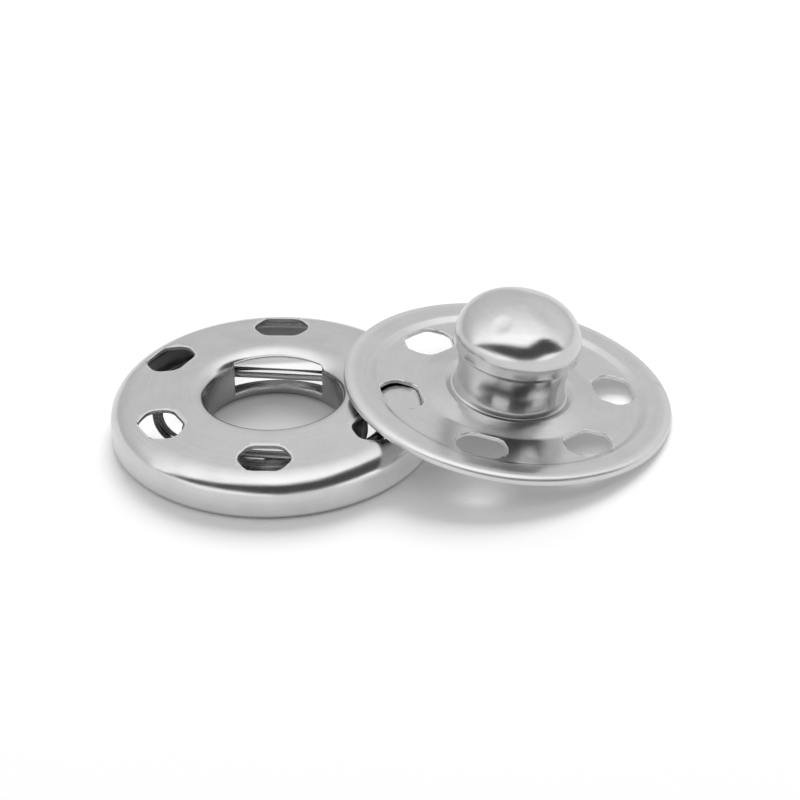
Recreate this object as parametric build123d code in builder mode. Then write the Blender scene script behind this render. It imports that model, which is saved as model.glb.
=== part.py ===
from build123d import *
from math import atan2, cos, degrees, radians, sin, sqrt, tan
import os

# Sew-on snap fastener in pressed sheet metal: an open socket with a wire spring, lying flat, and
# the stud that clips into it, leaning on the socket's shoulder. Millimetres, +Z up. The origin is
# on the socket's axis, on the surface that both halves rest on, and +X runs towards the stud.

# Socket shell: outer sizes of the pressed sheet
socket_radius = 10.5
socket_sheet = 0.30
hem_radius = 0.50
shoulder_height = 3.05
shoulder_radius = 1.65
land_rise_angle = 6.0
throat_radius = 4.35
roll_radius = 1.0
foot_lift = 0.05
foot_bend_radius = 0.55
flange_width = 1.1
socket_turn = -6.0

# Two windows in the socket's neck, for the spring's legs
window_width = 5.7
window_sill_lift = 0.45
window_head_drop = 0.37
window_turn = -1.0

# Wire spring
wire_diameter = 0.70
wire_to_jamb_gap = 0.10
wire_to_head_gap = 0.90
leg_overrun = 0.35
spring_mouth = 1.5
spring_tilt = 4.0
spring_turn = -5.0

# Sewing slots, punched alike in both halves
slot_count = 6
slot_length = 3.78
slot_flat = 1.90
slot_width = 2.54
slot_corner_radius = 0.80
socket_slot_inset = 2.56

# Stud plate: rim, raised band and ring, then the boss that rises to the collar round the neck
stud_overhang = 0.15
stud_sheet = 0.25
rim_height = 0.55
rim_bend_radius = 0.36
band_width = 1.65
step_run = 0.45
step_drop = 0.25
step_bend_radius = 0.40
boss_run = 1.51
boss_bend_radius = 1.2
collar_rise = 0.44
collar_width = 0.62
collar_bend_radius = 0.36
groove_drop = 0.32
groove_bend_radius = 0.15
stud_turn = 13.2

# Stud neck and ball, the depths taken inwards from the ball's widest part
ball_radius = 4.10
groove_depth = 0.48
waist_depth = 0.62
waist_rise = 1.50
waist_bend_radius = 3.0
lip_foot_depth = 0.38
lip_foot_rise = 1.48
lip_foot_bend_radius = 0.35
lip_depth = 0.06
lip_rise = 0.23
lip_bend_radius = 0.30
ball_rise = 3.60
ball_corner_radius = 2.4
ball_crown_radius = 6.0

# How the stud leans: its low side is on the table and its ring is on the socket's shoulder
lean_angle = 10.4
rest_gap = 0.03


def section_plane(frame):
    """Half plane through a frame's axis: across is the radius, up is the height."""
    return Plane(frame.origin, x_dir=frame.x_dir, z_dir=-frame.y_dir)


def punch_outline():
    """Corners of one sewing slot, radial by tangential: long flanks and blunt pointed ends."""
    half_width = slot_width / 2
    half_flat = slot_flat / 2
    half_length = slot_length / 2
    return [
        (half_width, -half_flat),
        (half_width, half_flat),
        (0, half_length),
        (-half_width, half_flat),
        (-half_width, -half_flat),
        (0, -half_length),
    ]


# The socket shell: one disc drawn into a ring, hem, wall, shoulder, land, roll, neck and foot
wall_top = shoulder_height - shoulder_radius
shoulder_centre = socket_radius - shoulder_radius
land_rise = radians(land_rise_angle)
land_outer = shoulder_centre + shoulder_radius * sin(land_rise)
land_outer_height = wall_top + shoulder_radius * cos(land_rise)
roll_centre = throat_radius + roll_radius
land_inner = roll_centre + roll_radius * sin(land_rise)
land_inner_height = land_outer_height + (land_outer - land_inner) * tan(land_rise)
roll_centre_height = land_inner_height - roll_radius * cos(land_rise)
roll_top = roll_centre_height + roll_radius
flange_radius = throat_radius + foot_bend_radius + flange_width
window_sill = foot_lift + socket_sheet + window_sill_lift
window_head = roll_top - window_head_drop

with BuildPart() as socket_shell:
    with BuildSketch(section_plane(Plane.XY)) as shell_section:
        with BuildLine() as shell_skin:
            hem = JernArc((socket_radius - 2 * hem_radius, hem_radius), (0, -1), hem_radius, 180)
            wall = Line(hem @ 1, (socket_radius, wall_top))
            shoulder = JernArc(wall @ 1, (0, 1), shoulder_radius, 90 - land_rise_angle)
            land = Line(shoulder @ 1, (land_inner, land_inner_height))
            roll = JernArc(land @ 1, land % 1, roll_radius, 90 + land_rise_angle)
            neck = Line(roll @ 1, (throat_radius, foot_lift + foot_bend_radius))
            foot = JernArc(neck @ 1, (0, -1), foot_bend_radius, 90)
            Line(foot @ 1, (flange_radius, foot_lift))
            offset(amount=socket_sheet, side=Side.LEFT)
        make_face()
    revolve(axis=Axis.Z)
    # Two windows, opposite each other, where the spring's legs cross the well
    with BuildSketch(Plane.XY.offset(window_sill)) as windows:
        Rectangle(window_width, 2 * (roll_centre + roll_radius), rotation=socket_turn + window_turn)
    extrude(amount=window_head - window_sill, mode=Mode.SUBTRACT)
    # Six sewing slots through the land
    with BuildSketch(Plane.XY.offset(wall_top)) as socket_slots:
        with PolarLocations(socket_radius - socket_slot_inset, slot_count, start_angle=90 + socket_turn):
            Polygon(*punch_outline())
        fillet(socket_slots.vertices(), slot_corner_radius)
    extrude(amount=roll_top, mode=Mode.SUBTRACT)

# The wire spring: an open oval ring whose straight legs lie in the windows
wire_radius = wire_diameter / 2
neck_outside = throat_radius + socket_sheet
half_window = window_width / 2
jamb_turn = radians(abs(window_turn - spring_turn))
jamb_reach = sqrt(neck_outside**2 - half_window**2) * cos(jamb_turn) + half_window * sin(jamb_turn)
leg_offset = jamb_reach + wire_to_jamb_gap + wire_radius
half_leg = half_window + leg_overrun
mouth_angle = degrees(spring_mouth / leg_offset)
back_leg_height = window_head - wire_to_head_gap - wire_radius
spring_height = back_leg_height - leg_offset * sin(radians(spring_tilt))
spring_plane = Plane((0, 0, spring_height)).rotated((spring_tilt, 0, socket_turn + spring_turn))

with BuildPart() as wire_spring:
    with BuildLine(spring_plane) as spring_run:
        Line((half_leg, -leg_offset), (-half_leg, -leg_offset))
        JernArc((-half_leg, -leg_offset), (-1, 0), leg_offset, -180)
        Line((-half_leg, leg_offset), (half_leg, leg_offset))
        JernArc((half_leg, leg_offset), (1, 0), leg_offset, mouth_angle - 180)
    with BuildSketch(Plane(spring_run.line @ 0, z_dir=spring_run.line % 0)) as wire_section:
        Circle(wire_radius)
    sweep(path=spring_run.line)

# Heights and radii of the stud's skin, from the rim's cut edge and the stud's axis. The plate is
# a little wider than the socket, so that it covers it when the two are closed.
stud_radius = socket_radius + stud_overhang
ring_height = rim_height - step_drop
collar_height = ring_height + collar_rise
groove_height = collar_height - groove_drop
waist_height = groove_height + waist_rise
lip_foot_height = waist_height + lip_foot_rise
lip_height = lip_foot_height + lip_rise
ball_height = lip_height + ball_rise
step_radius = stud_radius - band_width
ring_outer = step_radius - step_run
groove_radius = ball_radius - groove_depth
collar_radius = groove_radius + collar_width
ring_inner = collar_radius + boss_run
ring_middle = (ring_inner + ring_outer) / 2

# The ball's outline is two arcs that meet smoothly: a corner round the side and a flatter crown
corner_centre_radius = ball_radius - ball_corner_radius
crown_to_corner = ball_crown_radius - ball_corner_radius
corner_rise = sqrt(crown_to_corner**2 - corner_centre_radius**2)
corner_centre_height = ball_height - ball_crown_radius + corner_rise
corner_angle = degrees(atan2(corner_rise, corner_centre_radius))

# Where the stud stands
lean = radians(lean_angle)
ring_underside = ring_height - stud_sheet
shoulder_reach = wall_top * cos(lean) + shoulder_radius - ring_underside + rest_gap
stud_distance = shoulder_centre + shoulder_reach / sin(lean) - stud_radius * cos(lean)
stud_seat = Plane(
    (stud_distance, 0, stud_radius * sin(lean)),
    x_dir=(cos(lean), 0, -sin(lean)),
    z_dir=(sin(lean), 0, cos(lean)),
)

# The stud: one disc drawn into a rimmed plate, a boss, a grooved neck and a hollow ball
with BuildPart() as stud:
    with BuildSketch(section_plane(stud_seat)) as stud_section:
        with BuildLine() as stud_skin:
            plate = FilletPolyline(
                (stud_radius, 0),
                (stud_radius, rim_height),
                (step_radius, rim_height),
                (ring_outer, ring_height),
                (ring_inner, ring_height),
                (collar_radius, collar_height),
                (groove_radius, groove_height),
                (ball_radius - waist_depth, waist_height),
                (ball_radius - lip_foot_depth, lip_foot_height),
                (ball_radius - lip_depth, lip_height),
                (ball_radius, corner_centre_height),
                radius=[
                    rim_bend_radius,
                    step_bend_radius,
                    step_bend_radius,
                    boss_bend_radius,
                    collar_bend_radius,
                    groove_bend_radius,
                    waist_bend_radius,
                    lip_foot_bend_radius,
                    lip_bend_radius,
                ],
            )
            corner = JernArc(plate @ 1, (0, 1), ball_corner_radius, corner_angle)
            JernArc(corner @ 1, corner % 1, ball_crown_radius, 90 - corner_angle)
            offset(amount=stud_sheet, side=Side.LEFT)
        make_face()
    revolve(axis=Axis(stud_seat.origin, stud_seat.z_dir))
    # Six sewing slots through the flat ring
    with BuildSketch(stud_seat) as stud_slots:
        with PolarLocations(ring_middle, slot_count, start_angle=stud_turn):
            Polygon(*punch_outline())
        fillet(stud_slots.vertices(), slot_corner_radius)
    extrude(amount=rim_height, mode=Mode.SUBTRACT)

socket_shell.part.label = "socket_shell"
wire_spring.part.label = "wire_spring"
stud.part.label = "stud"

os.makedirs("parts", exist_ok=True)
export_step(socket_shell.part, "parts/socket_shell.step")
export_step(wire_spring.part, "parts/wire_spring.step")
export_step(stud.part, "parts/stud.step")
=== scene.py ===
import math
from types import SimpleNamespace

import bmesh
import bpy
from bpy.props import FloatProperty, FloatVectorProperty, IntProperty, PointerProperty
from mathutils import Euler, Matrix, Vector


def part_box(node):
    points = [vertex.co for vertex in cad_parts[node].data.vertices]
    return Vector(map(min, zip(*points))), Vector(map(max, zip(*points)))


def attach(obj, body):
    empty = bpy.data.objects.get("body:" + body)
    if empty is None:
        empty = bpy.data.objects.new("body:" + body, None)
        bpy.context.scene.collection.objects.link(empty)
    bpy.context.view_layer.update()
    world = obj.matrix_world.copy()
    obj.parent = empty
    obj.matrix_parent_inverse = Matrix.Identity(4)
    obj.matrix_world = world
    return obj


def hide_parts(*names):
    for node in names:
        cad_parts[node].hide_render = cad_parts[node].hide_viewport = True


bl_info = {
    "name": "Sew-on snap fastener",
    "version": (1, 0, 0),
    "blender": (4, 5, 0),
    "location": "View3D > Sidebar > Snap",
    "description": "Dresses a pressed-metal sew-on snap: socket, wire spring, stud and their stage",
    "category": "Object",
}

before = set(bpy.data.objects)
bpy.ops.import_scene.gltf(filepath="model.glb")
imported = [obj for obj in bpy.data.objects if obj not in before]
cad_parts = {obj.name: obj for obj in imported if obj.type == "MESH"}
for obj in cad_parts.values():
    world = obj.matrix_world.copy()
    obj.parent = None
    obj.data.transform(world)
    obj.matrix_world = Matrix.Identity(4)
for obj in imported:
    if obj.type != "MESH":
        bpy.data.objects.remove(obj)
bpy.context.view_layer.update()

MM = 0.001
BODY = "root"

# How finely round shapes and straight runs are divided, lengths in millimetres
BEND_STEP = math.radians(6.0)
CROWN_STEP = math.radians(1.5)
CORNER_STEP = math.radians(3.0)
RUN_STEP = 0.5
ROUNDS = 240
WIRE_SIDES = 24
WIRE_STEPS = 48

# Points closer than this are one, and edges sharper than this are cut ones
WELD = 0.002
CUT_EDGE_ANGLE = math.radians(50.0)

# Bevels on cut edges, and how far the piece's corners may be from its CAD node's
BEVEL_SEGMENTS = 3
WIRE_END_ROUND = 0.08
BOX_TOLERANCE = 0.12

# How far down and up the punches through the stud's plate stand
PUNCH_REACH = (-1.0, 2.0)

# Wear and painted sheen on the stud's turned rim and on the ball's side, against 1 on a cut edge
RIM_WEAR_AND_SHEEN = 0.8
BALL_WEAR_AND_SHEEN = 0.15

# Dimples in the ball's top: place, reach, and depth as a share of the property's
DIMPLES = (
    (-1.5, -2.2, 0.8, 1.3),
    (1.4, -0.5, 1.6, 1.3),
    (-1.3, 0.9, 1.6, 0.7),
    (2.5, -2.0, 2.1, 1.2),
)

# The windows' punched sill: a step at one place, and waves as share, rate and start
SILL_STEP = 0.06
SILL_STEP_PLACE = -0.25
SILL_WAVE = 0.03
SILL_WAVES = ((1.0, 2.6, 0.8), (0.5, 6.1, 0.0))
SILL_CUTS = 40

# Where the floor changes, each a smooth step: radii from the socket's axis, and rows behind it
WELL_EDGE = (4.6, 5.2)
HOLLOW_START = (5.0, 5.6)
HOLLOW_END = (9.8, 10.2)
SOCKET_EDGE = (10.2, 11.0)
BACK_SLOT = (8.2, 8.7)
FAR_FLOOR = (18, 45)
FLOOR_REACH = 1.5

# The light tent, in degrees up from the camera's horizon: 90 is overhead, 180 the horizon behind
TENT_FADE = (60, 152)
TENT_FOOT = (150, 172)
GAP_FOOT = (-2, 9)
GAP_HEAD = (42, 57)

# The softbox: sides and distance in metres, angles round from the camera and up
KEY_SIZE = (0.55, 0.45)
KEY_DISTANCE = 0.8
KEY_AZIMUTH = math.radians(172.0)
KEY_ELEVATION = math.radians(45.0)
KEY_AIM = Vector((8 * MM, 0, 0))

WHITE = (1.0, 1.0, 1.0, 1.0)


# ---- Sizes and finishes a user may change


def length(name, description, millimetres):
    return FloatProperty(
        name=name, description=description, default=millimetres * MM, unit="LENGTH", precision=5
    )


def turn(name, description, degrees):
    angle = math.radians(degrees)
    return FloatProperty(
        name=name, description=description, default=angle, unit="ROTATION", precision=2
    )


def number(name, description, value, low=0.0, high=10.0):
    return FloatProperty(name=name, description=description, default=value, min=low, max=high)


def tone(name, description, value):
    return FloatVectorProperty(
        name=name, description=description, default=value, subtype="COLOR", size=3, min=0.0, max=1.0
    )


class SNAP_PG_slots(bpy.types.PropertyGroup):
    """Sewing slots, punched alike in both halves"""

    count: IntProperty(
        name="Slots", description="Sewing slots in each half", default=6, min=3, max=12
    )
    across: length("Length", "Slot length, along the ring", 3.76)
    flat: length("Flank", "Straight flank of a slot", 2.15)
    width: length("Width", "Slot width, across the ring", 2.54)
    corner: length("Corner", "Radius of a slot's corners", 0.88)


class SNAP_PG_socket(bpy.types.PropertyGroup):
    """Outer sizes of the socket's pressed sheet"""

    radius: length("Radius", "Outer radius of the wall", 10.5)
    sheet: length("Sheet", "Thickness of the sheet", 0.30)
    hem: length("Hem", "Radius of the rolled hem", 0.50)
    shoulder_height: length("Shoulder height", "Height that the shoulder's bend reaches", 3.05)
    shoulder: length("Shoulder", "Radius of the shoulder's bend", 1.65)
    land_rise: turn("Land rise", "Slope of the land, up towards the well", 6.0)
    throat: length("Throat", "Radius of the well", 4.35)
    roll: length("Roll", "Radius of the bend into the well", 1.0)
    foot_lift: length("Foot lift", "Gap under the flange", 0.05)
    foot: length("Foot", "Radius of the bend at the neck's foot", 0.55)
    flange: length("Flange", "Flat width of the flange", 1.1)
    slot_inset: length("Slot inset", "Slot centres, in from the wall", 2.56)
    facing: turn("Turn", "How far the socket is turned about its axis", -6.0)
    window_width: length("Window width", "Width of the spring's windows", 5.7)
    window_sill: length("Window sill", "Sill over the flange's sheet", 0.45)
    window_head: length("Window head", "Window head, down from the roll's top", 0.50)
    window_facing: turn("Window turn", "Turn of the windows against the slots", -1.0)
    cut_round: length("Cut edge", "Rounding of the punched edges", 0.07)


class SNAP_PG_spring(bpy.types.PropertyGroup):
    """The wire spring in the socket"""

    wire: length("Wire", "Diameter of the wire", 0.70)
    jamb_gap: length("Jamb gap", "Gap between wire and neck", 0.10)
    overrun: length("Leg overrun", "Straight leg past the window's jamb", 0.35)
    mouth: length("Mouth", "Open end of the ring", 1.5)
    tilt: turn("Tilt", "Lean of the ring, front leg low", 4.0)
    facing: turn("Turn", "Turn of the ring against the slots", -5.0)


class SNAP_PG_stud(bpy.types.PropertyGroup):
    """Outer sizes of the stud's pressed sheet"""

    overhang: length("Overhang", "How far the stud reaches past the socket", 0.15)
    sheet: length("Sheet", "Thickness of the sheet", 0.25)
    rim_height: length("Rim height", "Height of the plate's top over the rim's edge", 0.55)
    rim_bend: length("Rim bend", "Radius of the rim's bend", 0.36)
    band: length("Band", "Width of the raised outer band", 1.65)
    step_run: length("Step run", "Width of the step down to the ring", 0.45)
    step_drop: length("Step drop", "Depth of the step down to the ring", 0.25)
    step_bend: length("Step bend", "Radius of the step's bends", 0.40)
    boss_run: length("Boss run", "Width of the slope up to the collar", 1.51)
    boss_bend: length("Boss bend", "Radius at the slope's foot", 1.2)
    collar_rise: length("Collar rise", "Height of the collar over the ring", 0.44)
    collar_width: length("Collar width", "Width between collar and groove", 0.62)
    collar_bend: length("Collar bend", "Radius of the collar's top", 0.36)
    groove_drop: length("Groove drop", "Depth of the groove in the collar", 0.32)
    groove_bend: length("Groove bend", "Radius in the groove", 0.15)
    ball: length("Ball", "Radius of the ball", 4.10)
    groove_depth: length("Groove depth", "Groove, in from the ball's side", 0.48)
    waist_depth: length("Waist depth", "Waist, in from the ball's side", 0.62)
    waist_rise: length("Waist rise", "Height of the waist over the groove", 1.50)
    waist_bend: length("Waist bend", "Radius of the waist", 3.0)
    lip_foot_depth: length("Lip foot depth", "Lip's foot, in from the ball's side", 0.38)
    lip_foot_rise: length("Lip foot rise", "Height of the lip's foot over the waist", 1.48)
    lip_foot_bend: length("Lip foot bend", "Radius at the lip's foot", 0.35)
    lip_depth: length("Lip depth", "Lip, in from the ball's side", 0.06)
    lip_rise: length("Lip rise", "Height of the lip over its foot", 0.23)
    lip_bend: length("Lip bend", "Radius of the lip", 0.30)
    ball_rise: length("Ball rise", "Height of the ball over its lip", 3.60)
    ball_corner: length("Ball corner", "Radius round the ball's side", 2.4)
    ball_crown: length("Ball crown", "Radius over the ball's top", 6.0)
    facing: turn("Turn", "Turn of the slots about the stud's axis", 13.2)
    lean: turn("Lean", "Lean of the stud on the socket", 10.4)
    rest_gap: length("Rest gap", "Gap to the socket's shoulder", 0.03)
    cut_round: length("Cut edge", "Rounding of the punched edges", 0.05)
    dimple_depth: length("Dimple depth", "Depth of the dimples in the ball's top", 0.10)


class SNAP_PG_finish(bpy.types.PropertyGroup):
    """Plated metal"""

    plate: tone("Plate", "Colour of the nickel plate", (0.66, 0.66, 0.665))
    plate_rough: number("Plate roughness", "Roughness of the nickel plate", 0.20, 0.0, 1.0)
    wire: tone("Wire", "Colour of the spring's wire", (0.64, 0.64, 0.64))
    wire_rough: number("Wire roughness", "Roughness of the wire", 0.16, 0.0, 1.0)


class SNAP_PG_stage(bpy.types.PropertyGroup):
    """Camera, floor and light"""

    azimuth: turn("Azimuth", "Camera's turn round the upright axis", 1.5)
    elevation: turn("Elevation", "Camera's height over the floor, as an angle", 31.96)
    roll: turn("Roll", "Camera's turn about its own axis", -2.07)
    distance: length("Distance", "Camera to target", 649.0)
    target: FloatVectorProperty(
        name="Target",
        description="Point on the floor at the picture's centre",
        default=(8.21 * MM, 3.25 * MM, 0.0),
        subtype="TRANSLATION",
        size=3,
    )
    focal: number("Focal length", "In millimetres, on a sensor 36 mm wide", 452.0, 10.0, 1000.0)
    floor: tone("Floor", "Colour of the floor", (0.93, 0.93, 0.93))
    floor_lift: number("Floor lift", "Brightness that the floor adds for the camera", 0.12)
    hollow_lift: number("Hollow lift", "The same, in the hollow under the socket's land", 0.7)
    far_lift: number("Far lift", "The same, on the floor far behind the object", 0.7)
    mirror_lift: number("Mirror lift", "Brightness that the floor adds for reflections", 0.45)
    well_shade: number("Well shade", "How far the floor in the well is darkened", 0.5, 0.0, 1.0)
    far_shade: number("Far shade", "The same, on the floor far behind the object", 0.75, 0.0, 1.0)
    mirror_shade: number("Mirror shade", "The same, for reflections", 0.6, 0.0, 1.0)
    fill: number("Fill", "Share of the tent's light that falls on matt surfaces", 0.5, 0.0, 1.0)
    key: number("Key", "Strength of the softbox behind and above", 5.4, 0.0, 100.0)


# ---- Work in millimetres on a bmesh


def in_mm(group):
    """The group's values, lengths in millimetres."""
    found = {}
    for key in group.__annotations__:
        value = getattr(group, key)
        is_length = getattr(group.bl_rna.properties[key], "unit", "NONE") == "LENGTH"
        found[key] = value / MM if is_length else value
    return SimpleNamespace(**found)


def run_to(bm, tip, x, z):
    """A straight run from the tip, divided finely enough for even shading."""
    way = Vector((x, 0, z)) - tip.co
    count = max(1, math.ceil(way.length / RUN_STEP))
    for _ in range(count):
        tip = bmesh.ops.extrude_vert_indiv(bm, verts=[tip])["verts"][0]
        bmesh.ops.translate(bm, verts=[tip], vec=way / count)
    return tip


def bend_round(bm, tip, x, z, angle, step=BEND_STEP):
    """Spins the tip about a centre in the XZ plane; a positive angle turns +Z towards +X."""
    made = bmesh.ops.spin(
        bm,
        geom=[tip],
        cent=(x, 0, z),
        axis=(0, 1, 0),
        dvec=(0, 0, 0),
        angle=angle,
        steps=max(2, math.ceil(abs(angle) / step)),
        use_merge=False,
        use_normal_flip=False,
        use_duplicate=False,
    )
    return next(item for item in made["geom_last"] if isinstance(item, bmesh.types.BMVert))


def draw_rounded(bm, corners):
    """Edges in the XZ plane along corners (x, z, bend radius), each corner but the ends rounded."""
    tip = bm.verts.new((corners[0][0], 0, corners[0][1]))
    for before, corner, after in zip(corners, corners[1:], corners[2:]):
        at = Vector(corner[:2])
        into = (at - Vector(before[:2])).normalized()
        out = (Vector(after[:2]) - at).normalized()
        swing = into.angle_signed(out)
        start = at - into * corner[2] * math.tan(abs(swing) / 2)
        side = Vector((into.y, -into.x)) * math.copysign(corner[2], swing)
        tip = run_to(bm, tip, start.x, start.y)
        tip = bend_round(bm, tip, *(start + side), swing)
    return run_to(bm, tip, corners[-1][0], corners[-1][1])


def spin_full(bm):
    """Turns the drawn skin all round the Z axis and closes its seam and poles."""
    bmesh.ops.spin(
        bm,
        geom=bm.verts[:] + bm.edges[:],
        cent=(0, 0, 0),
        axis=(0, 0, 1),
        dvec=(0, 0, 0),
        angle=math.tau,
        steps=ROUNDS,
        use_merge=True,
        use_normal_flip=False,
        use_duplicate=False,
    )
    bmesh.ops.remove_doubles(bm, verts=bm.verts[:], dist=WELD / 2)
    bmesh.ops.dissolve_degenerate(bm, dist=WELD / 20, edges=bm.edges[:])


def as_object(bm, name):
    mesh = bpy.data.meshes.new(name)
    bm.to_mesh(mesh)
    bm.free()
    made = bpy.data.objects.new(name, mesh)
    bpy.context.scene.collection.objects.link(made)
    return made


def slot_cutter(slots, ring, facing, low, high):
    """Punches for the sewing slots, pointed ends along the ring, standing from low to high."""
    bm = bmesh.new()
    half_width, half_flat, half_length = slots.width / 2, slots.flat / 2, slots.across / 2
    outline = [
        (half_width, 0, 0),
        (half_width, half_flat, slots.corner),
        (0, half_length, slots.corner),
        (-half_width, half_flat, slots.corner),
        (-half_width, -half_flat, slots.corner),
        (0, -half_length, slots.corner),
        (half_width, -half_flat, slots.corner),
        (half_width, 0, 0),
    ]
    draw_rounded(bm, outline)
    bmesh.ops.remove_doubles(bm, verts=bm.verts[:], dist=WELD)
    bmesh.ops.contextual_create(bm, geom=bm.edges[:])
    lay_flat = Matrix.Rotation(-math.pi / 2, 3, "X")
    bmesh.ops.rotate(bm, verts=bm.verts[:], cent=(0, 0, 0), matrix=lay_flat)
    bmesh.ops.translate(bm, verts=bm.verts[:], vec=(ring, 0, low))
    grown = bmesh.ops.extrude_face_region(bm, geom=bm.faces[:])
    tops = [item for item in grown["geom"] if isinstance(item, bmesh.types.BMVert)]
    bmesh.ops.translate(bm, verts=tops, vec=(0, 0, high - low))
    bmesh.ops.recalc_face_normals(bm, faces=bm.faces[:])
    about = Matrix.Rotation(facing, 3, "Z")
    bmesh.ops.rotate(bm, verts=bm.verts[:], cent=(0, 0, 0), matrix=about)
    gap = math.tau / slots.count
    bmesh.ops.spin(
        bm,
        geom=bm.verts[:] + bm.edges[:] + bm.faces[:],
        cent=(0, 0, 0),
        axis=(0, 0, 1),
        dvec=(0, 0, 0),
        angle=math.tau - gap,
        steps=slots.count - 1,
        use_merge=False,
        use_normal_flip=False,
        use_duplicate=True,
    )
    return as_object(bm, "slot_cutter")


def window_cutter(socket, sill, head):
    """One bar through both sides of the neck, with the uneven underside of a much-used punch."""
    bm = bmesh.new()
    bmesh.ops.create_cube(bm, size=1.0)
    reach = 2 * (socket.throat + 2 * socket.roll)
    bmesh.ops.scale(bm, verts=bm.verts[:], vec=(socket.window_width, reach, head - sill))
    bmesh.ops.translate(bm, verts=bm.verts[:], vec=(0, 0, (head + sill) / 2))
    across = [edge for edge in bm.edges if abs(edge.verts[0].co.x - edge.verts[1].co.x) > WELD]
    bmesh.ops.subdivide_edges(bm, edges=across, cuts=SILL_CUTS, use_grid_fill=True)
    for vert in bm.verts:
        if vert.co.z < sill + WELD:
            x = vert.co.x
            step = SILL_STEP if x > SILL_STEP_PLACE else 0.0
            wave = sum(share * math.sin(rate * x + start) for share, rate, start in SILL_WAVES)
            vert.co.z += step + SILL_WAVE * wave
    about = Matrix.Rotation(socket.facing + socket.window_facing, 3, "Z")
    bmesh.ops.rotate(bm, verts=bm.verts[:], cent=(0, 0, 0), matrix=about)
    return as_object(bm, "window_cutter")


def pressed(bm, sheet, cutters):
    """The skin given its thickness inwards, then punched with the cutters, as a new bmesh."""
    blank = as_object(bm, "blank")
    wall = blank.modifiers.new("sheet", "SOLIDIFY")
    wall.thickness = sheet
    wall.offset = -1.0
    wall.use_even_offset = True
    wall.use_quality_normals = True
    wall.use_rim = True
    for cutter in cutters:
        punch = blank.modifiers.new("punch", "BOOLEAN")
        punch.operation = "DIFFERENCE"
        punch.solver = "EXACT"
        punch.object = cutter
    bpy.context.view_layer.update()
    done = bmesh.new()
    done.from_object(blank, bpy.context.evaluated_depsgraph_get())
    for used in [blank, *cutters]:
        mesh = used.data
        bpy.data.objects.remove(used)
        bpy.data.meshes.remove(mesh)
    bmesh.ops.remove_doubles(done, verts=done.verts[:], dist=WELD)
    bmesh.ops.dissolve_degenerate(done, dist=WELD / 4, edges=done.edges[:])
    return done


def cut_edges(bm):
    return [
        edge
        for edge in bm.edges
        if len(edge.link_faces) == 2 and edge.calc_face_angle(0.0) > CUT_EDGE_ANGLE
    ]


def round_cut_edges(bm, radius):
    """Rolls the sheet's punched and cut edges over, and marks them for wear and a painted sheen."""
    corners = {vert for edge in cut_edges(bm) for vert in edge.verts}
    bmesh.ops.remove_doubles(bm, verts=list(corners), dist=radius / 2)
    bmesh.ops.dissolve_degenerate(bm, dist=WELD, edges=bm.edges[:])
    sharp = cut_edges(bm)
    rolled = bmesh.ops.bevel(
        bm,
        geom=sharp,
        offset=radius,
        offset_type="OFFSET",
        segments=BEVEL_SEGMENTS,
        profile=0.5,
        affect="EDGES",
        clamp_overlap=False,
        material=-1,
    )
    wear_and_sheen = bm.verts.layers.float.new("wear_and_sheen")
    for face in rolled["faces"]:
        for vert in face.verts:
            vert[wear_and_sheen] = 1.0
    return wear_and_sheen


def finish_piece(bm, name, node, material, place=None):
    """Brings a piece to size and place, and sets it on the frame for its CAD node."""
    if place is not None:
        bmesh.ops.transform(bm, matrix=place, verts=bm.verts[:])
    bmesh.ops.scale(bm, verts=bm.verts[:], vec=(MM, MM, MM))
    for face in bm.faces:
        face.smooth = True
    piece = as_object(bm, name)
    even = piece.modifiers.new("even_normals", "WEIGHTED_NORMAL")
    even.mode = "FACE_AREA"
    even.weight = 100
    piece.data.materials.append(material)
    for given, pick in zip(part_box(node), (min, max)):
        found = Vector([pick(vert.co[axis] for vert in piece.data.vertices) for axis in range(3)])
        if (found - given).length > BOX_TOLERANCE * MM:
            raise RuntimeError(f"{name} leaves its CAD node: {found / MM} for {given / MM}")
    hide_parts(node)
    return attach(piece, BODY)


# ---- Materials


class Flow:
    """A shader socket that takes part in arithmetic."""

    def __init__(self, tree, socket=None):
        self.tree = tree
        self.socket = socket

    def node(self, kind, settings=None, inputs=None, output=0):
        made = self.tree.nodes.new(kind)
        for key, value in (settings or {}).items():
            setattr(made, key, value)
        for key, value in (inputs or {}).items():
            if isinstance(value, Flow):
                self.tree.links.new(value.socket, made.inputs[key])
            else:
                made.inputs[key].default_value = value
        return Flow(self.tree, made.outputs[output] if made.outputs else None)

    def at(self, name):
        return Flow(self.tree, self.socket.node.outputs[name])

    def math(self, operation, *values):
        """The Math node's operation on this socket and the values after it."""
        inputs = dict(enumerate((self, *values)))
        return self.node("ShaderNodeMath", {"operation": operation}, inputs)

    def __add__(self, other):
        return self.math("ADD", other)

    __radd__ = __add__

    def __sub__(self, other):
        return self.math("SUBTRACT", other)

    def __rsub__(self, other):
        return self.node("ShaderNodeMath", {"operation": "SUBTRACT"}, {0: other, 1: self})

    def __mul__(self, other):
        return self.math("MULTIPLY", other)

    __rmul__ = __mul__

    def __truediv__(self, other):
        return self.math("DIVIDE", other)

    def __pow__(self, other):
        return self.math("POWER", other)

    def smooth(self, low, high):
        """0 below low, 1 above high, and a smooth rise between."""
        settings = {"interpolation_type": "SMOOTHSTEP", "clamp": True}
        inputs = {"Value": self, "From Min": low, "From Max": high}
        return self.node("ShaderNodeMapRange", settings, inputs)


def blend_colour(flow, factor, first, second):
    settings = {"data_type": "RGBA", "blend_type": "MIX"}
    made = flow.node("ShaderNodeMix", settings)
    node = made.socket.node
    for index, value in ((0, factor), (6, first), (7, second)):
        if isinstance(value, Flow):
            flow.tree.links.new(value.socket, node.inputs[index])
        else:
            node.inputs[index].default_value = value
    return Flow(flow.tree, node.outputs[2])


def new_material(name):
    material = bpy.data.materials.new(name)
    material.use_nodes = True
    material.node_tree.nodes.clear()
    return material, Flow(material.node_tree)


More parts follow.
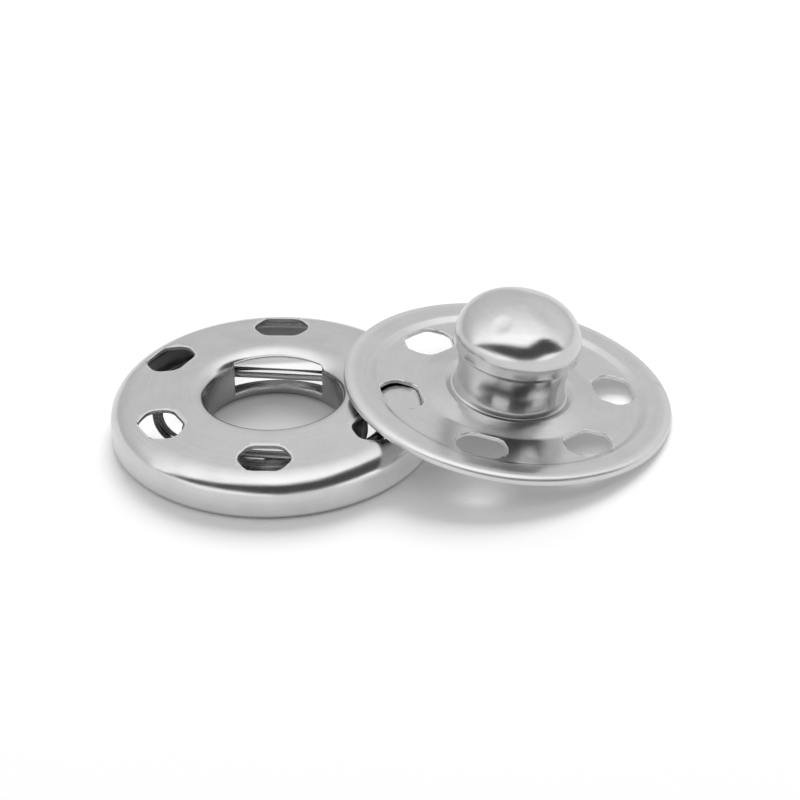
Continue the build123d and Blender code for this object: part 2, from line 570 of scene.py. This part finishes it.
def noise(flow, place, scale, detail, rough=0.5, fourth=None):
    """Noise between 0 and 1, with a fourth coordinate where one is given."""
    settings = {"noise_dimensions": "3D" if fourth is None else "4D"}
    inputs = {"Vector": place, "Scale": scale, "Detail": detail, "Roughness": rough}
    if fourth is not None:
        inputs["W"] = fourth
    return flow.node("ShaderNodeTexNoise", settings, inputs)


def nickel(name, colour, rough, centre, lean, painted_shade=None):
    """Satin nickel over pressed steel, with tool marks round the piece's axis, edges rubbed by wear
    and lightened by a painted sheen, and painted shade and reflection where a mask is given.
    """
    material, flow = new_material(name)
    place = flow.node("ShaderNodeTexCoord", output="Object")
    local = flow.node(
        "ShaderNodeMapping",
        {"vector_type": "TEXTURE"},
        {"Vector": place, "Location": centre, "Rotation": (0.0, lean, 0.0), "Scale": (MM, MM, MM)},
    )
    apart = local.node("ShaderNodeSeparateXYZ", inputs={"Vector": local})
    x, y, z = apart.at("X"), apart.at("Y"), apart.at("Z")
    out = (x * x + y * y) ** 0.5

    # The marks are fine across the radius and height, and long round the axis
    fine, long = 9.0, 1.6
    away = out + WELD / 2
    ring_inputs = {"X": out * fine, "Y": z * fine, "Z": x / away * long}
    ring = flow.node("ShaderNodeCombineXYZ", inputs=ring_inputs)
    marks = noise(flow, ring, 1.0, 3.0, 0.6, y / away * long)
    cloud = noise(flow, local, 0.55, 4.0, 0.6)
    peel = noise(flow, local, 5.0, 3.0, 0.6)
    swell = noise(flow, local, 0.3, 1.0)
    wear_and_sheen = flow.node("ShaderNodeAttribute", {"attribute_name": "wear_and_sheen"}, output="Fac")
    roughness = rough + (cloud - 0.5) * 0.16 + (marks - 0.5) * 0.10 + wear_and_sheen * 0.25

    dulled = (*(0.86 * part for part in colour), 1.0)
    dull = (cloud * 0.6 + marks * 0.4).smooth(0.35, 0.75) * 0.6
    base = blend_colour(flow, dull, (*colour, 1.0), dulled)
    # Painted shade and reflection, where a mask is given: the colour is darkened towards near-black
    if painted_shade is not None:
        base = blend_colour(flow, painted_shade(x, y, z, out), base, (0.10, 0.10, 0.10, 1.0))
    # Painted sheen: places marked for wear are lightened towards pale metal, as a painted highlight
    bright = blend_colour(flow, wear_and_sheen * 0.7, base, (0.82, 0.82, 0.82, 1.0))

    wave_inputs = {"Height": swell, "Strength": 1.0, "Distance": 0.10 * MM}
    waves = flow.node("ShaderNodeBump", inputs=wave_inputs)
    relief = flow.node(
        "ShaderNodeBump",
        inputs={
            "Height": marks * 0.5 + peel * 0.5,
            "Strength": 0.2,
            "Distance": 0.02 * MM,
            "Normal": waves,
        },
    )
    shader = flow.node(
        "ShaderNodeBsdfPrincipled",
        inputs={"Base Color": bright, "Metallic": 1.0, "Roughness": roughness, "Normal": relief},
    )
    flow.node("ShaderNodeOutputMaterial", inputs={"Surface": shader})
    return material


def neck_painted_shade(x, y, z, out):
    """Painted reflection as dark streaks up the neck's sides, and painted shade in the groove at
    its foot.
    """
    # Painted reflection: dark lobes up the neck's sides, placed by their turn from the camera's
    # side
    round_front = x.math("ARCTAN2", y * -1.0)
    inside_lip = 1.0 - out.smooth(4.0, 4.1)
    neck = z.smooth(0.6, 1.1) * (1.0 - z.smooth(2.9, 3.35)) * inside_lip
    lobes = ((round_front - 0.10) * 9.0).math("COSINE").smooth(0.1, 0.9)
    sides = ((round_front - 0.45) * 2.0).math("COSINE").smooth(-0.3, 0.5)
    streaks = lobes * sides * neck * 0.4

    # Painted shade in the groove at the neck's foot, on the side towards the camera
    inside_collar = 1.0 - out.smooth(3.95, 4.12)
    front = (round_front - 0.14).math("COSINE").smooth(0.45, 0.95)
    foot = z.smooth(0.30, 0.40) * (1.0 - z.smooth(0.72, 0.95)) * inside_collar * front
    return streaks.math("MAXIMUM", foot * 0.7)


def drawn_wire(colour, rough):
    """Bright drawn spring wire with faint lengthwise marks."""
    material, flow = new_material("drawn_wire")
    place = flow.node("ShaderNodeTexCoord", output="Object")
    stretch = {"Vector": place, "Scale": (300.0, 2500.0, 2500.0)}
    marks = noise(flow, flow.node("ShaderNodeMapping", inputs=stretch), 1.0, 2.0)
    dulled = (*(0.85 * part for part in colour), 1.0)
    shade = blend_colour(flow, marks * 0.5, (*colour, 1.0), dulled)
    relief = {"Height": marks, "Strength": 0.05, "Distance": 0.01 * MM}
    shader = flow.node(
        "ShaderNodeBsdfPrincipled",
        inputs={
            "Base Color": shade,
            "Metallic": 1.0,
            "Roughness": rough + (marks - 0.5) * 0.08,
            "Normal": flow.node("ShaderNodeBump", inputs=relief),
        },
    )
    flow.node("ShaderNodeOutputMaterial", inputs={"Surface": shader})
    return material


# ---- The three pieces


class SNAP_OT_socket(bpy.types.Operator):
    """Make the socket's pressed shell"""

    bl_idname = "snap.socket"
    bl_label = "Socket shell"

    def execute(self, context):
        s = in_mm(context.scene.snap_socket)
        slots = in_mm(context.scene.snap_slots)
        finish = context.scene.snap_finish
        rise = math.tan(s.land_rise)
        land_outer = s.radius - s.shoulder + s.shoulder * math.sin(s.land_rise)
        land_height = s.shoulder_height - s.shoulder + s.shoulder * math.cos(s.land_rise)
        roll_centre = s.throat + s.roll
        land_inner = roll_centre + s.roll * math.sin(s.land_rise)
        roll_top = land_height + (land_outer - land_inner) * rise
        roll_top += s.roll * (1 - math.cos(s.land_rise))
        bm = bmesh.new()
        draw_rounded(
            bm,
            [
                (s.radius - 2 * s.hem, s.hem, 0),
                (s.radius - 2 * s.hem, 0, s.hem),
                (s.radius, 0, s.hem),
                (s.radius, land_height - (s.radius - land_outer) * rise, s.shoulder),
                (s.throat, land_height + (land_outer - s.throat) * rise, s.roll),
                (s.throat, s.foot_lift, s.foot),
                (s.throat + s.foot + s.flange, s.foot_lift, 0),
            ],
        )
        spin_full(bm)
        bmesh.ops.recalc_face_normals(bm, faces=bm.faces[:])
        sill = s.foot_lift + s.sheet + s.window_sill
        windows = window_cutter(s, sill, roll_top - s.window_head)
        ring = s.radius - s.slot_inset
        facing = math.pi / 2 + s.facing
        punches = slot_cutter(slots, ring, facing, s.shoulder_height / 2, 2 * roll_top)
        bm = pressed(bm, s.sheet, [windows, punches])
        round_cut_edges(bm, s.cut_round)
        centre = (0.0, 0.0, 0.0)
        plate = nickel("nickel_socket", finish.plate, finish.plate_rough, centre, 0.0)
        finish_piece(bm, "pressed_socket", "socket_shell", plate)
        return {"FINISHED"}


class SNAP_OT_spring(bpy.types.Operator):
    """Make the wire spring that grips the ball"""

    bl_idname = "snap.spring"
    bl_label = "Wire spring"

    def execute(self, context):
        s = in_mm(context.scene.snap_socket)
        w = in_mm(context.scene.snap_spring)
        finish = context.scene.snap_finish
        low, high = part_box("wire_spring")
        half_window = s.window_width / 2
        twist = abs(s.window_facing - w.facing)
        neck = math.sqrt((s.throat + s.sheet) ** 2 - half_window**2)
        leg = neck * math.cos(twist) + half_window * math.sin(twist) + w.jamb_gap + w.wire / 2
        half_leg = half_window + w.overrun
        bm = bmesh.new()
        circle = bmesh.ops.create_circle(
            bm, cap_ends=False, radius=w.wire / 2, segments=WIRE_SIDES
        )
        upright = Matrix.Rotation(math.pi / 2, 3, "Y")
        bmesh.ops.rotate(bm, verts=circle["verts"], cent=(0, 0, 0), matrix=upright)
        bmesh.ops.translate(bm, verts=circle["verts"], vec=(half_leg, -leg, 0))
        tip = bm.edges[:]
        ends = [tip]
        tip = self.straight(bm, tip, -2 * half_leg)
        tip = self.curve(bm, tip, -half_leg, -math.pi)
        tip = self.straight(bm, tip, 2 * half_leg)
        tip = self.curve(bm, tip, half_leg, w.mouth / leg - math.pi)
        ends.append(tip)
        caps = [bmesh.ops.contextual_create(bm, geom=end)["faces"][0] for end in ends]
        bmesh.ops.recalc_face_normals(bm, faces=bm.faces[:])
        bmesh.ops.bevel(
            bm,
            geom=[edge for cap in caps for edge in cap.edges],
            offset=WIRE_END_ROUND,
            offset_type="OFFSET",
            segments=BEVEL_SEGMENTS,
            profile=0.5,
            affect="EDGES",
            material=-1,
        )
        place = Euler((w.tilt, 0.0, s.facing + w.facing), "XYZ").to_matrix().to_4x4()
        place.translation = (0, 0, (low.z + high.z) / 2 / MM)
        wire = drawn_wire(finish.wire, finish.wire_rough)
        finish_piece(bm, "bent_wire", "wire_spring", wire, place)
        return {"FINISHED"}

    def straight(self, bm, tip, run):
        grown = bmesh.ops.extrude_edge_only(bm, edges=tip)["geom"]
        verts = [item for item in grown if isinstance(item, bmesh.types.BMVert)]
        bmesh.ops.translate(bm, verts=verts, vec=(run, 0, 0))
        return [item for item in grown if isinstance(item, bmesh.types.BMEdge)]

    def curve(self, bm, tip, centre, angle):
        verts = list({vert for edge in tip for vert in edge.verts})
        spun = bmesh.ops.spin(
            bm,
            geom=verts + tip,
            cent=(centre, 0, 0),
            axis=(0, 0, 1),
            dvec=(0, 0, 0),
            angle=angle,
            steps=WIRE_STEPS,
            use_merge=False,
            use_normal_flip=False,
            use_duplicate=False,
        )
        return [item for item in spun["geom_last"] if isinstance(item, bmesh.types.BMEdge)]


class SNAP_OT_stud(bpy.types.Operator):
    """Make the stud, leaning on the socket"""

    bl_idname = "snap.stud"
    bl_label = "Stud"

    def execute(self, context):
        socket = in_mm(context.scene.snap_socket)
        slots = in_mm(context.scene.snap_slots)
        s = in_mm(context.scene.snap_stud)
        finish = context.scene.snap_finish
        radius = socket.radius + s.overhang
        ring = s.rim_height - s.step_drop
        collar = ring + s.collar_rise
        groove = collar - s.groove_drop
        waist = groove + s.waist_rise
        lip_foot = waist + s.lip_foot_rise
        lip = lip_foot + s.lip_rise
        top = lip + s.ball_rise
        step = radius - s.band
        ring_outer = step - s.step_run
        groove_radius = s.ball - s.groove_depth
        collar_radius = groove_radius + s.collar_width
        ring_inner = collar_radius + s.boss_run
        corner_in = s.ball - s.ball_corner
        corner_up = math.sqrt((s.ball_crown - s.ball_corner) ** 2 - corner_in**2)
        corner_height = top - s.ball_crown + corner_up
        corner_angle = math.atan2(corner_up, corner_in)
        bm = bmesh.new()
        tip = draw_rounded(
            bm,
            [
                (radius, 0, 0),
                (radius, s.rim_height, s.rim_bend),
                (step, s.rim_height, s.step_bend),
                (ring_outer, ring, s.step_bend),
                (ring_inner, ring, s.boss_bend),
                (collar_radius, collar, s.collar_bend),
                (groove_radius, groove, s.groove_bend),
                (s.ball - s.waist_depth, waist, s.waist_bend),
                (s.ball - s.lip_foot_depth, lip_foot, s.lip_foot_bend),
                (s.ball - s.lip_depth, lip, s.lip_bend),
                (s.ball, corner_height, 0),
            ],
        )
        tip = bend_round(bm, tip, corner_in, corner_height, -corner_angle, CORNER_STEP)
        bend_round(bm, tip, 0, top - s.ball_crown, corner_angle - math.pi / 2, CROWN_STEP)
        spin_full(bm)
        bmesh.ops.recalc_face_normals(bm, faces=bm.faces[:])
        self.dent(bm, s, lip)
        ring_middle = (ring_inner + ring_outer) / 2
        punches = slot_cutter(slots, ring_middle, s.facing, *PUNCH_REACH)
        bm = pressed(bm, s.sheet, [punches])
        wear_and_sheen = round_cut_edges(bm, s.cut_round)
        # Wear and painted sheen on the turned rim and on the ball's side
        for vert in bm.verts:
            if vert.co.xy.length > radius - s.rim_bend and vert.co.z > s.rim_height - s.rim_bend:
                vert[wear_and_sheen] = RIM_WEAR_AND_SHEEN
            elif lip < vert.co.z < corner_height:
                vert[wear_and_sheen] = BALL_WEAR_AND_SHEEN
        underside = ring - s.sheet
        wall_top = socket.shoulder_height - socket.shoulder
        reach = wall_top * math.cos(s.lean) + socket.shoulder - underside + s.rest_gap
        away = socket.radius - socket.shoulder + reach / math.sin(s.lean)
        away -= radius * math.cos(s.lean)
        place = Matrix.Rotation(s.lean, 4, "Y")
        place.translation = (away, 0, radius * math.sin(s.lean))
        seat = tuple(place.translation * MM)
        # The stud's nickel carries painted shade and reflection on its neck
        plate = nickel("nickel_stud", finish.plate, finish.plate_rough, seat, s.lean, neck_painted_shade)
        finish_piece(bm, "pressed_stud", "stud", plate, place)
        return {"FINISHED"}

    def dent(self, bm, s, lip):
        """Sink the shallow dimples that wear has left in the ball's top."""
        for vert in bm.verts:
            if vert.co.z > lip:
                for x, y, reach, share in DIMPLES:
                    near = math.hypot(vert.co.x - x, vert.co.y - y) / reach
                    if near < 1:
                        vert.co.z -= s.dimple_depth * share * (1 - near * near) ** 2


# ---- Stage


class SNAP_OT_stage(bpy.types.Operator):
    """Set up camera, floor and light"""

    bl_idname = "snap.stage"
    bl_label = "Stage"

    def execute(self, context):
        stage = context.scene.snap_stage
        self.camera(context, stage)
        self.floor(stage)
        self.world(context, stage)
        self.softbox(stage)
        settings = context.scene.view_settings
        settings.view_transform = "Standard"
        return {"FINISHED"}

    def camera(self, context, stage):
        data = bpy.data.cameras.new("camera")
        data.sensor_width = 36.0
        data.lens = stage.focal
        camera = bpy.data.objects.new("camera", data)
        context.scene.collection.objects.link(camera)
        a, e, r = stage.azimuth, stage.elevation, stage.roll
        back = Vector((-math.cos(e) * math.sin(a), -math.cos(e) * math.cos(a), math.sin(e)))
        level = Vector((math.cos(a), -math.sin(a), 0.0))
        upright = back.cross(level)
        right = level * math.cos(r) + upright * math.sin(r)
        up = upright * math.cos(r) - level * math.sin(r)
        placed = Matrix((right, up, back)).transposed().to_4x4()
        placed.translation = Vector(stage.target) + back * stage.distance
        camera.matrix_world = placed
        context.scene.camera = camera

    def floor(self, stage):
        """White card, darker in the well and far behind, and lifted to white for the camera."""
        bm = bmesh.new()
        bmesh.ops.create_grid(bm, x_segments=1, y_segments=1, size=FLOOR_REACH)
        floor = as_object(bm, "floor")
        material, flow = new_material("white_card")
        place = flow.node("ShaderNodeTexCoord", output="Object")
        apart = flow.node("ShaderNodeSeparateXYZ", inputs={"Vector": place})
        x, y = apart.at("X") / MM, apart.at("Y") / MM
        out = (x * x + y * y) ** 0.5
        far = y.smooth(*FAR_FLOOR)
        hollow = out.smooth(*HOLLOW_START) * (1.0 - out.smooth(*HOLLOW_END))
        hollow = hollow * (1.0 - y.smooth(*BACK_SLOT) * 0.6)
        rays = flow.node("ShaderNodeLightPath")
        seen = rays.at("Is Camera Ray")
        mirrored = out.smooth(*SOCKET_EDGE) * rays.at("Is Glossy Ray")
        lift = seen * (stage.floor_lift + hollow * stage.hollow_lift + far * stage.far_lift)
        lift = lift + mirrored * stage.mirror_lift
        dark = (1.0 - out.smooth(*WELL_EDGE)) * stage.well_shade + far * stage.far_shade
        dark = dark.math("MAXIMUM", mirrored * stage.mirror_shade)
        shade = blend_colour(flow, dark, (*stage.floor, 1.0), (0.2, 0.2, 0.2, 1.0))
        card = flow.node("ShaderNodeBsdfDiffuse", inputs={"Color": shade})
        glow = flow.node("ShaderNodeEmission", inputs={"Color": WHITE, "Strength": lift})
        both = flow.node("ShaderNodeAddShader", inputs={0: card, 1: glow})
        flow.node("ShaderNodeOutputMaterial", inputs={"Surface": both})
        floor.data.materials.append(material)

    def softbox(self, stage):
        """Area lamp aimed at the object; azimuth 0 is the camera's side, turning towards +X."""
        data = bpy.data.lights.new("key_softbox", "AREA")
        data.shape = "RECTANGLE"
        data.size, data.size_y = KEY_SIZE
        data.energy = stage.key
        lamp = bpy.data.objects.new("key_softbox", data)
        bpy.context.scene.collection.objects.link(lamp)
        a, e = KEY_AZIMUTH, KEY_ELEVATION
        away = Vector((math.cos(e) * math.sin(a), -math.cos(e) * math.cos(a), math.sin(e)))
        placed = away.to_track_quat("Z", "Y").to_matrix().to_4x4()
        placed.translation = KEY_AIM + away * KEY_DISTANCE
        lamp.matrix_world = placed
        lamp.visible_glossy = False

    def world(self, context, stage):
        """A light tent, brightest overhead and fading to the back, with a dark gap in front."""
        world = bpy.data.worlds.new("light_tent")
        context.scene.world = world
        world.use_nodes = True
        world.node_tree.nodes.clear()
        flow = Flow(world.node_tree)
        way = flow.node("ShaderNodeTexCoord", output="Generated")
        apart = flow.node("ShaderNodeSeparateXYZ", inputs={"Vector": way})
        x, y, z = apart.at("X"), apart.at("Y"), apart.at("Z")
        over = z.math("ARCTAN2", y * -1.0) * (180 / math.pi)
        cover = 1.50 - over.smooth(*TENT_FADE) * 0.72 - over.smooth(*TENT_FOOT) * 0.10
        # The gap narrows to the left and climbs to the right
        low_edge = over + x.math("MINIMUM", 0.0) * 22.0 - x.smooth(0.45, 0.95) * 16.0
        high_edge = over - x.smooth(0.30, 0.85) * 46.0
        gap = low_edge.smooth(*GAP_FOOT) * (1.0 - high_edge.smooth(*GAP_HEAD))
        level = (cover * (1.0 + x * 0.10) * (1.0 - gap * 0.95)).math("MAXIMUM", 0.02)
        rays = flow.node("ShaderNodeLightPath")
        seen, mirrored = rays.at("Is Camera Ray"), rays.at("Is Glossy Ray")
        lit = level * (mirrored + (1.0 - mirrored) * stage.fill)
        strength = seen + (1.0 - seen) * lit
        tent = flow.node("ShaderNodeBackground", inputs={"Color": WHITE, "Strength": strength})
        flow.node("ShaderNodeOutputWorld", inputs={"Surface": tent})


class SNAP_PT_panel(bpy.types.Panel):
    """The fastener's pieces and stage"""

    bl_idname = "SNAP_PT_panel"
    bl_label = "Snap fastener"
    bl_space_type = "VIEW_3D"
    bl_region_type = "UI"
    bl_category = "Snap"

    def draw(self, context):
        for operator in STEPS:
            self.layout.operator(operator.bl_idname)


GROUPS = {
    "snap_slots": SNAP_PG_slots,
    "snap_socket": SNAP_PG_socket,
    "snap_spring": SNAP_PG_spring,
    "snap_stud": SNAP_PG_stud,
    "snap_finish": SNAP_PG_finish,
    "snap_stage": SNAP_PG_stage,
}
STEPS = (SNAP_OT_socket, SNAP_OT_spring, SNAP_OT_stud, SNAP_OT_stage)


def register():
    for cls in (*GROUPS.values(), *STEPS, SNAP_PT_panel):
        bpy.utils.register_class(cls)
    for name, group in GROUPS.items():
        setattr(bpy.types.Scene, name, PointerProperty(type=group))


def unregister():
    for name in GROUPS:
        delattr(bpy.types.Scene, name)
    for cls in reversed((*GROUPS.values(), *STEPS, SNAP_PT_panel)):
        bpy.utils.unregister_class(cls)


def main():
    register()
    bpy.ops.snap.socket()
    bpy.ops.snap.spring()
    bpy.ops.snap.stud()
    bpy.ops.snap.stage()


if __name__ == "__main__":
    main()
